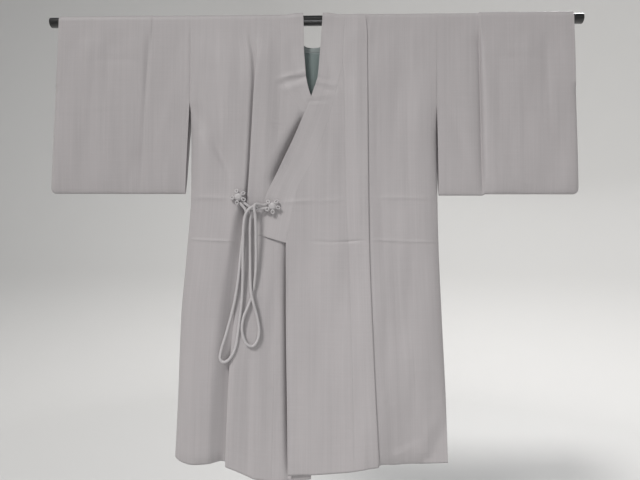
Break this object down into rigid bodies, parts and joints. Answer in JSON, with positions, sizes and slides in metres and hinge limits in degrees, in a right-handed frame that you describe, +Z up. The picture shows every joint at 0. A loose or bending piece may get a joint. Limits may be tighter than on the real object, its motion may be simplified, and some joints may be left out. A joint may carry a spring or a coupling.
{
  "type": "dochugi coat on a hanging rod",
  "caption": "Kimono-cut tie-front coat of pale grey silk with wide sleeves, band collar and flower-knotted cords, hung through its sleeves on a black rod.",
  "frame": {"origin": "on the rod's axis at the middle of the coat's neck opening", "axes": "+X along the rod to the viewer's right (the wearer's left), the coat's front faces -Y, +Z up"},
  "size_m": [1.36, 0.0768, 1.1566],
  "materials": {
    "cloth": "soft sheen silk, plain weave",
    "lining": "smooth lining silk",
    "cord": "soft sheen silk cord",
    "rod": "black gloss lacquer"
  },
  "bodies": {
    "root": {"body_left": "cloth", "body_right": "cloth", "okumi_left": "cloth", "okumi_right": "cloth", "collar_left": "cloth", "collar_right": "cloth", "sleeve_left": "cloth", "sleeve_right": "cloth", "back_lining": "lining", "knot_left": "cord", "knot_right": "cord", "cord_left": "cord", "cord_right": "cord", "rod": "rod"}
  },
  "joints": []
}
